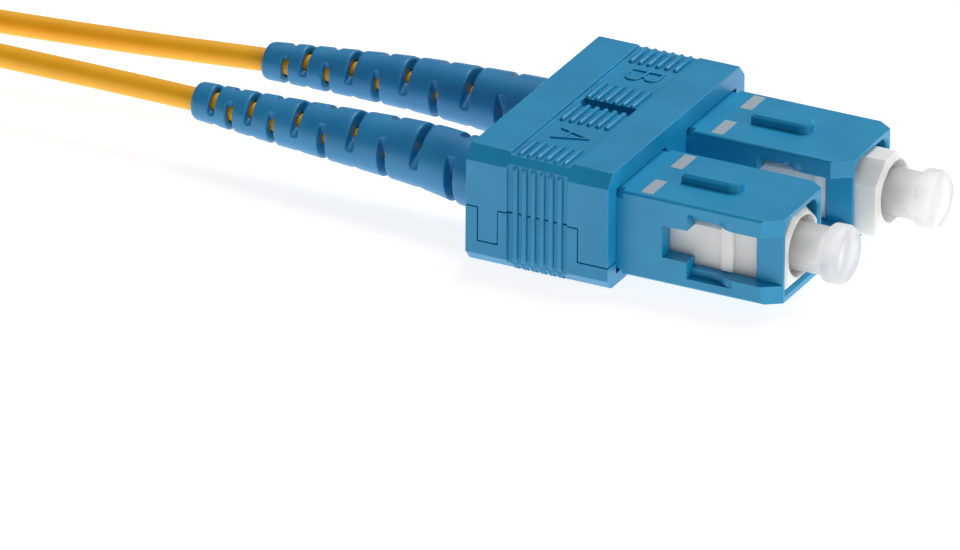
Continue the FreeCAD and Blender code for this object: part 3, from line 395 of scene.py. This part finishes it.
def add_rib(shape, where, start, stop, round_start=True):
    """A half-round rib from start to stop. where(along, across, rise) gives its place."""
    def rounded(end, way):
        return [(end + way * RIB_HALF * (1 - math.cos(turn)), math.sin(turn)) for turn in RIB_END_TURNS]

    stations = rounded(start, 1) if round_start else [(start, 1.0)]
    stations += rounded(stop, -1)[::-1]
    rings = []
    for along, size in stations:
        section = [(-RIB_HALF * size, -RIB_FOOT)]
        for step in range(RIB_SIDES + 1):
            turn = math.pi * step / RIB_SIDES
            section.append((-RIB_HALF * size * math.cos(turn), RIB_HEIGHT * size * math.sin(turn)))
        section.append((RIB_HALF * size, -RIB_FOOT))
        rings.append([shape.verts.new(where(along, across, rise)) for across, rise in section])
    faces = [shape.faces.new(rings[0]), shape.faces.new(rings[-1])]
    for ring, following in zip(rings, rings[1:]):
        for step in range(len(ring)):
            after = (step + 1) % len(ring)
            faces.append(shape.faces.new((ring[step], ring[after], following[after], following[step])))
    bmesh.ops.recalc_face_normals(shape, faces=faces)


def soften_cover(node):
    """A clip cover with half-round grip ribs and slightly rounded edges."""
    shape = joined_copy(node)
    clear_band(shape, node)
    round_edges(shape, COVER_EDGE, 3)
    floor_z, floor_y = band_floors(node)
    for number in range(RIB_COUNT):
        x = RIB_MIDDLE + BAND_SHIFT + (number - (RIB_COUNT - 1) / 2) * RIB_PITCH
        for side in (-1, 1):
            def on_side(along, across, rise):
                return x + across, side * (floor_y + rise), along

            def on_roof(along, across, rise):
                return x + across, side * along, floor_z + rise

            if is_upper(node):
                add_rib(shape, on_side, SEAM_HIGH, SIDE_RIB_HIGH, round_start=False)
                for start, stop in RIB_SPANS:
                    add_rib(shape, on_roof, start, stop)
            else:
                add_rib(shape, on_side, SIDE_RIB_LOW, SEAM_LOW + RIB_HALF)
    moulded_piece(node, shape)


# ---------------------------------------------------------------------------------------------
# Cables: from inside the boot, along the free stretch, and into the put-away turns
# ---------------------------------------------------------------------------------------------

CABLE_RADIUS = 1.0 * MM
# Millimetres. Each route starts on the plug's axis inside the boot and ends where the turns begin.
ROUTES = {
    "a": [
        (-5.4, -6.35, 4.73), (-8.6, -6.33, 4.76), (-13.0, -5.7, 5.13), (-20.0, -5.55, 5.13),
        (-28.0, -5.25, 5.08), (-35.0, -4.7, 5.03), (-45.0, -4.6, 5.03), (-59.5, -4.6, 5.03),
        (-70.0, -5.6, 3.9), (-80.5, -8.6, 2.0),
    ],
    "b": [
        (-5.4, 6.35, 4.73), (-10.0, 6.35, 4.95), (-20.0, 6.3, 5.05), (-26.0, 5.65, 5.05),
        (-33.0, 4.8, 5.03), (-42.0, 3.17, 5.03), (-50.0, 2.02, 5.03), (-61.5, 0.6, 5.03),
        (-69.0, 2.8, 6.9), (-75.5, 6.4, 8.6),
    ],
}
TURN_RADII = (10.4, 8.35, 6.3)
LAYERS = 3
STRAND_PITCH = 2.05
NEAR_X, FAR_X = -88.4, -112.9
# The arcs of a turn have a point every 30 degrees, set out so that the smooth line keeps the radius.
ARC_STEP, ARC_POINTS = 30, 6
ARC_TURNS = [math.radians(ARC_STEP * (step + 0.5)) for step in range(ARC_POINTS)]
ARC_SPREAD = 1 / math.cos(math.radians(ARC_STEP / 2))
HALF_ARC = ARC_POINTS / 2


def turns(side, first_height):
    """The points of a hank's turns, from the outermost lowest run. Millimetres."""
    order = []
    for layer in range(LAYERS):
        radii = TURN_RADII if layer % 2 == 0 else TURN_RADII[::-1]
        order += [(radius, first_height + layer * STRAND_PITCH) for radius in radii]
    points = []
    for number, (radius, height) in enumerate(order):
        next_radius, next_height = order[min(number + 1, len(order) - 1)]
        points.append((NEAR_X, side * radius, height))
        points.append((FAR_X, side * radius, height))
        for turn in ARC_TURNS:
            points.append((
                FAR_X - radius * ARC_SPREAD * math.sin(turn),
                side * radius * ARC_SPREAD * math.cos(turn),
                height,
            ))
        points.append((FAR_X, -side * radius, height))
        points.append((NEAR_X, -side * radius, height))
        if number == len(order) - 1:
            break
        # Back at the near end the run first moves over to the next place beside it, then climbs.
        for step, turn in enumerate(ARC_TURNS, start=1):
            across = min(1.0, step / HALF_ARC)
            up = max(0.0, (step - HALF_ARC) / HALF_ARC)
            reach = (radius + (next_radius - radius) * across) * ARC_SPREAD
            points.append((
                NEAR_X + reach * math.sin(turn),
                -side * reach * math.cos(turn),
                height + (next_height - height) * up,
            ))
    return points


def route_curve(name, points, radius):
    curve = bpy.data.curves.new(name, "CURVE")
    curve.dimensions = "3D"
    curve.resolution_u = 8
    curve.bevel_depth = radius
    curve.bevel_resolution = 5
    curve.use_fill_caps = True
    spline = curve.splines.new("NURBS")
    spline.points.add(len(points) - 1)
    for point, place in zip(spline.points, points):
        point.co = (*(Vector(place) * MM), 1.0)
    spline.order_u = 3
    spline.use_endpoint_u = True
    return curve


def add_cable(name, side):
    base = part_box(f"cable_bundle_{name}")[0].z / MM
    points = ROUTES[name] + turns(side, base + CABLE_RADIUS / MM)
    curve = route_curve(f"cable_{name}_whole", points, CABLE_RADIUS)
    cable = add_object(f"cable_{name}_whole", curve)
    curve.materials.append(MATERIALS["cable_yellow"])
    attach(cable, f"plug_{name}")
    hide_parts(f"cable_{name}", f"cable_bundle_{name}")


def centreline(name):
    """The smooth line of a cable's free stretch, as points."""
    holder = add_object(f"line_{name}", route_curve(f"line_{name}", ROUTES[name], 0))
    line = evaluated_mesh(holder)
    places = sorted((vertex.co.copy() for vertex in line.vertices), key=lambda place: -place.x)
    bpy.data.objects.remove(holder)
    return places


def shift_at(line, x, side):
    """How far the line has left the plug's axis at some x: across and up."""
    if x >= line[0].x:
        return 0.0, 0.0
    for before, after in zip(line, line[1:]):
        if after.x <= x:
            share = (before.x - x) / max(before.x - after.x, 1e-9)
            place = before.lerp(after, share)
            return place.y - on_axis(side), place.z - AXIS_Z
    return line[-1].y - on_axis(side), line[-1].z - AXIS_Z


# ---------------------------------------------------------------------------------------------
# Boots: turned and cut, the edges of the cuts rounded, then bent with the cable that each holds
# ---------------------------------------------------------------------------------------------

BOOT_SIDES = 72
BOOT_RADIUS, BOOT_TAIL_RADIUS = 2.9 * MM, 1.6 * MM
BOOT_STRAIGHT = 10.5 * MM
BOOT_BORE, BOOT_SLEEVE_BORE, BOOT_SLEEVE_DEPTH = 1.1 * MM, 2.42 * MM, 7.3 * MM
BOOT_END_ROUND = 0.4 * MM
# How much further the boots are pushed on than the solids.
BOOT_SHIFT = {"a": 0.5 * MM, "b": 0.65 * MM}
# The rows of cuts, counted from the tail, in millimetres. From row to row they lie further apart and
# get wider, and their floors lie further from the axis.
CUT_ROWS = 10
FIRST_CUT, CUT_PITCH, CUT_PITCH_GROWTH = 2.1, 1.6, 0.104
CUT_HALF, CUT_HALF_GROWTH = 0.32, 0.01
CUT_FLOOR, CUT_FLOOR_GROWTH = 0.5, 0.07
# The corners of a cut's floor.
CUT_CORNER, CUT_CORNER_SIDES = 0.22 * MM, 4
# Where the first row looks, in degrees about the axis.
CUT_TURN = {"a": 25, "b": 115}
# The cut form is rebuilt from small cells, smoothed, and thinned out.
BOOT_CELL = 0.1 * MM
BOOT_SMOOTHING = 0.5
BOOT_FACES_KEPT = 0.45


def boot_blank(name):
    """The boot before its cuts: a profile turned about the plug's axis."""
    end, front = (corner.x + BOOT_SHIFT[name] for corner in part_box(f"boot_{name}"))
    y = on_axis(SIDES[name])
    arc_middle = 0.3
    profile = [
        (front, BOOT_SLEEVE_BORE), (front, BOOT_RADIUS), (front - BOOT_STRAIGHT, BOOT_RADIUS),
        (end + BOOT_END_ROUND, BOOT_TAIL_RADIUS),
        (end + arc_middle * BOOT_END_ROUND, BOOT_TAIL_RADIUS - arc_middle * BOOT_END_ROUND),
        (end, BOOT_TAIL_RADIUS - BOOT_END_ROUND), (end, BOOT_BORE),
        (front - BOOT_SLEEVE_DEPTH, BOOT_BORE), (front - BOOT_SLEEVE_DEPTH, BOOT_SLEEVE_BORE),
    ]
    shape = bmesh.new()
    rings = []
    for x, radius in profile:
        rings.append([
            shape.verts.new((x, y + radius * math.cos(turn), AXIS_Z + radius * math.sin(turn)))
            for turn in (2 * math.pi * step / BOOT_SIDES for step in range(BOOT_SIDES))
        ])
    for ring, following in zip(rings, rings[1:] + rings[:1]):
        for step in range(BOOT_SIDES):
            after = (step + 1) % BOOT_SIDES
            shape.faces.new((ring[step], following[step], following[after], ring[after]))
    bmesh.ops.recalc_face_normals(shape, faces=shape.faces)
    return shape


def boot_cutters(name):
    """Slots across the boot with round bottoms, two to a row and each row a quarter turn on."""
    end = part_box(f"boot_{name}")[0].x + BOOT_SHIFT[name]
    y = on_axis(SIDES[name])
    shape = bmesh.new()
    for row in range(CUT_ROWS):
        middle = end + (FIRST_CUT + CUT_PITCH * row + CUT_PITCH_GROWTH * row ** 2) * MM
        half = (CUT_HALF + CUT_HALF_GROWTH * row) * MM
        floor = (CUT_FLOOR + CUT_FLOOR_GROWTH * row) * MM
        section = [(middle - half, 2 * BOOT_RADIUS)]
        for way in (-1, 1):
            for step in range(CUT_CORNER_SIDES + 1):
                share = step / CUT_CORNER_SIDES
                turn = math.pi / 2 * (share if way < 0 else 1 - share)
                section.append((
                    middle + way * (half - CUT_CORNER + CUT_CORNER * math.cos(turn)),
                    floor + CUT_CORNER * (1 - math.sin(turn)),
                ))
        section.append((middle + half, 2 * BOOT_RADIUS))
        for half_turn in (0, 180):
            turn = math.radians(half_turn + 90 * (row % 2) + CUT_TURN[name])
            ends = []
            for across in (-2 * BOOT_RADIUS, 2 * BOOT_RADIUS):
                ends.append([
                    shape.verts.new((
                        x,
                        y + across * math.cos(turn) - out * math.sin(turn),
                        AXIS_Z + across * math.sin(turn) + out * math.cos(turn),
                    ))
                    for x, out in section
                ])
            shape.faces.new(ends[0])
            shape.faces.new(ends[1][::-1])
            count = len(section)
            for step in range(count):
                after = (step + 1) % count
                shape.faces.new((ends[0][step], ends[0][after], ends[1][after], ends[1][step]))
    bmesh.ops.recalc_face_normals(shape, faces=shape.faces)
    return shape


def add_boot(name, side):
    """Cuts and rounds a boot, then bends it along its cable."""
    node = f"boot_{name}"
    piece = add_piece(f"{node}_bent", mesh_of(f"{node}_bent", boot_blank(name)), "boot_blue", BODY_OF[node])
    cutter = add_object(f"{node}_cutters", mesh_of(f"{node}_cutters", boot_cutters(name)))
    slots = piece.modifiers.new("slots", "BOOLEAN")
    slots.operation = "DIFFERENCE"
    slots.solver = "EXACT"
    slots.use_self = True
    slots.object = cutter
    remesh = piece.modifiers.new("remesh", "REMESH")
    remesh.mode = "VOXEL"
    remesh.voxel_size = BOOT_CELL
    smooth = piece.modifiers.new("smooth", "SMOOTH")
    smooth.factor = BOOT_SMOOTHING
    smooth.iterations = 2
    fewer = piece.modifiers.new("fewer", "DECIMATE")
    fewer.ratio = BOOT_FACES_KEPT
    made = evaluated_mesh(piece)
    piece.modifiers.clear()
    bpy.data.objects.remove(cutter)
    line = centreline(name)
    for vertex in made.vertices:
        across, up = shift_at(line, vertex.co.x, side)
        vertex.co.y += across
        vertex.co.z += up
    made.materials.clear()
    made.materials.append(MATERIALS["boot_blue"])
    made.shade_smooth()
    piece.data = made
    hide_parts(node)


# ---------------------------------------------------------------------------------------------
# Marks and letters
# ---------------------------------------------------------------------------------------------

MARK_LENGTH = 1.05 * MM
MARK_WIDTH = 2.7 * MM
MARK_BACK = 12.0 * MM
MARK_SPREAD = 5.3 * MM
MARK_THICK = 0.02 * MM
MARK_EDGE = 0.005 * MM
# The key of an outer housing stands at least this high on its top face.
KEY_LEAST_HEIGHT = 0.5 * MM


def box_mesh(name, low, high):
    """A box from its low corner to its high one, its edges a little rounded."""
    shape = bmesh.new()
    bmesh.ops.create_cube(shape, size=1.0)
    size = Vector(high) - Vector(low)
    middle = (Vector(high) + Vector(low)) / 2
    for vertex in shape.verts:
        vertex.co = Vector(a * b for a, b in zip(vertex.co, size)) + middle
    bmesh.ops.bevel(
        shape, geom=shape.edges[:], offset=MARK_EDGE, segments=2, profile=0.5, affect="EDGES",
        clamp_overlap=True,
    )
    return mesh_of(name, shape)


def add_marks(name, side):
    """The pair of painted bars on an outer housing's top, which show when a plug is home."""
    top = grip_top()
    x = MOUTH_X - MARK_BACK
    for number, way in enumerate((-1, 1), start=1):
        y = on_axis(side) + way * MARK_SPREAD / 2
        mesh = box_mesh(
            f"mark_{name}_{number}",
            (x - MARK_LENGTH / 2, y - MARK_WIDTH / 2, top - MARK_THICK),
            (x + MARK_LENGTH / 2, y + MARK_WIDTH / 2, top + MARK_THICK),
        )
        add_piece(f"mark_{name}_{number}", mesh, "mark_white", "housing")


def grip_top():
    """The outer housing's top face, under its key."""
    heights = sorted({round(vertex.co.z, 6) for vertex in frame["nodes"]["grip_a"].data.vertices})
    return max(height for height in heights if height < heights[-1] - KEY_LEAST_HEIGHT)


LETTER_HEIGHT = 3.0 * MM
LETTER_WIDTH = 2.1 * MM
LETTER_RISE = 0.15 * MM
# A letter's foot goes this share of its rise into the floor that it stands on.
LETTER_ROOT = 0.3
LETTER_THINNING = 0.1 * MM
LETTER_EDGE = 0.03 * MM
LETTER_X = 0.15 * MM
LETTER_PLACES = {"A": on_axis(SIDES["a"]), "B": on_axis(SIDES["b"]) + 0.15 * MM}


def add_letters():
    """A and B, raised from the floor of the clip's grip band, their tops towards the mouth."""
    band_z, _ = band_floors("clip_upper_cover")
    for letter, y in LETTER_PLACES.items():
        text = bpy.data.curves.new(f"letter_{letter}", "FONT")
        text.body = letter
        text.size = LETTER_HEIGHT
        text.extrude = LETTER_RISE / 2
        text.offset = -LETTER_THINNING
        text.bevel_depth = LETTER_EDGE
        holder = add_object(f"letter_{letter}_text", text)
        mesh = evaluated_mesh(holder)
        bpy.data.objects.remove(holder)
        low = Vector(min(vertex.co[axis] for vertex in mesh.vertices) for axis in range(3))
        high = Vector(max(vertex.co[axis] for vertex in mesh.vertices) for axis in range(3))
        for vertex in mesh.vertices:
            along = (vertex.co.y - low.y) / (high.y - low.y) - 0.5
            across = (vertex.co.x - low.x) / (high.x - low.x) - 0.5
            rise = (vertex.co.z - low.z) / (high.z - low.z)
            vertex.co = (
                LETTER_X + along * LETTER_HEIGHT,
                y - across * LETTER_WIDTH,
                band_z + (rise * (1 + LETTER_ROOT) - LETTER_ROOT) * LETTER_RISE,
            )
        add_piece(f"letter_{letter}", mesh, "clip_blue", "housing", SMOOTH_ANGLE)


# ---------------------------------------------------------------------------------------------
# Floor, light and camera
# ---------------------------------------------------------------------------------------------

CAMERA_AZIMUTH = math.radians(26.63)
CAMERA_HEIGHT = math.radians(25.47)
CAMERA_ROLL = math.radians(0.37)
CAMERA_DISTANCE = 1.62
CAMERA_LENS = 750
CAMERA_AIM = Vector((MOUTH_X - 29.31 * MM, -5.55 * MM, AXIS_Z - 9.39 * MM))

FLOOR_HALF = 3.0
FLOOR_GREY = 0.3
FLOOR_GLOW = 1.15
FLOOR_SEEN = 0.84
ROOM_GLOW = 0.2
LAMP_AIM = Vector((-0.01, 0, 0.003))


def add_floor():
    """A pale floor that glows like a light table, a little less for the camera, so that its shadow stays."""
    shape = bmesh.new()
    bmesh.ops.create_grid(shape, x_segments=1, y_segments=1, size=FLOOR_HALF)
    floor = add_object("floor", mesh_of("floor", shape))
    material, nodes, links, shader = blank_material("floor")
    shader.inputs["Base Color"].default_value = (FLOOR_GREY, FLOOR_GREY, FLOOR_GREY, 1)
    shader.inputs["Roughness"].default_value = 1.0
    shader.inputs["Specular IOR Level"].default_value = 0.0
    path = nodes.new("ShaderNodeLightPath")
    glow = nodes.new("ShaderNodeEmission")
    strength = nodes.new("ShaderNodeMath")
    strength.operation = "MULTIPLY_ADD"
    strength.inputs[1].default_value = FLOOR_SEEN - FLOOR_GLOW
    strength.inputs[2].default_value = FLOOR_GLOW
    links.new(path.outputs["Is Camera Ray"], strength.inputs[0])
    links.new(strength.outputs[0], glow.inputs["Strength"])
    both = nodes.new("ShaderNodeAddShader")
    links.new(shader.outputs[0], both.inputs[0])
    links.new(glow.outputs[0], both.inputs[1])
    links.new(both.outputs[0], nodes["Material Output"].inputs["Surface"])
    floor.data.materials.append(material)


def add_world():
    """A dim room, which is white where the camera sees it and through what is clear."""
    world = bpy.data.worlds.new("studio")
    bpy.context.scene.world = world
    world.use_nodes = True
    nodes, links = world.node_tree.nodes, world.node_tree.links
    nodes.clear()
    output = nodes.new("ShaderNodeOutputWorld")
    path = nodes.new("ShaderNodeLightPath")
    seen = nodes.new("ShaderNodeMath")
    seen.operation = "MAXIMUM"
    links.new(path.outputs["Is Camera Ray"], seen.inputs[0])
    links.new(path.outputs["Is Transmission Ray"], seen.inputs[1])
    room = nodes.new("ShaderNodeBackground")
    room.inputs["Color"].default_value = (1, 1, 1, 1)
    room.inputs["Strength"].default_value = ROOM_GLOW
    white = nodes.new("ShaderNodeBackground")
    white.inputs["Color"].default_value = (1, 1, 1, 1)
    white.inputs["Strength"].default_value = 1.0
    mix = nodes.new("ShaderNodeMixShader")
    links.new(seen.outputs[0], mix.inputs["Fac"])
    links.new(room.outputs[0], mix.inputs[1])
    links.new(white.outputs[0], mix.inputs[2])
    links.new(mix.outputs[0], output.inputs["Surface"])


def add_lamp(name, place, size, watts):
    """A round soft light that looks at the connector."""
    lamp = bpy.data.lights.new(name, "AREA")
    lamp.shape = "DISK"
    lamp.size = size
    lamp.energy = watts
    holder = add_object(name, lamp)
    holder.location = place
    holder.rotation_mode = "QUATERNION"
    holder.rotation_quaternion = (Vector(place) - LAMP_AIM).to_track_quat("Z", "Y")


def add_camera():
    data = bpy.data.cameras.new("camera")
    data.lens = CAMERA_LENS
    data.clip_start = 0.1
    data.clip_end = 20
    camera = add_object("camera", data)
    back = Vector((
        math.sin(CAMERA_AZIMUTH) * math.cos(CAMERA_HEIGHT),
        -math.cos(CAMERA_AZIMUTH) * math.cos(CAMERA_HEIGHT),
        math.sin(CAMERA_HEIGHT),
    ))
    camera.location = CAMERA_AIM + back * CAMERA_DISTANCE
    camera.rotation_mode = "QUATERNION"
    turn = back.to_track_quat("Z", "Y")
    camera.rotation_quaternion = turn @ Euler((0, 0, CAMERA_ROLL)).to_quaternion()
    bpy.context.scene.camera = camera


paint_frame()
soften_cover("clip_upper_cover")
soften_cover("clip_lower_cover")
for name, side in SIDES.items():
    soften_edges(f"grip_{name}", 0.1 * MM)
    soften_edges(f"plug_frame_{name}", 0.08 * MM)
    soften_edges(f"dust_cap_{name}", 0.15 * MM, segments=3)
    add_cable(name, side)
    add_boot(name, side)
    add_marks(name, side)
add_letters()
soften_edges("cable_tie", 0.15 * MM)
add_floor()
add_world()
add_lamp("top", (0.05, 0.5, 0.87), size=0.6, watts=7.2)
add_lamp("right", (0.95, -0.05, 0.3), size=0.5, watts=3.2)
add_camera()
bpy.context.scene.view_settings.view_transform = "Standard"
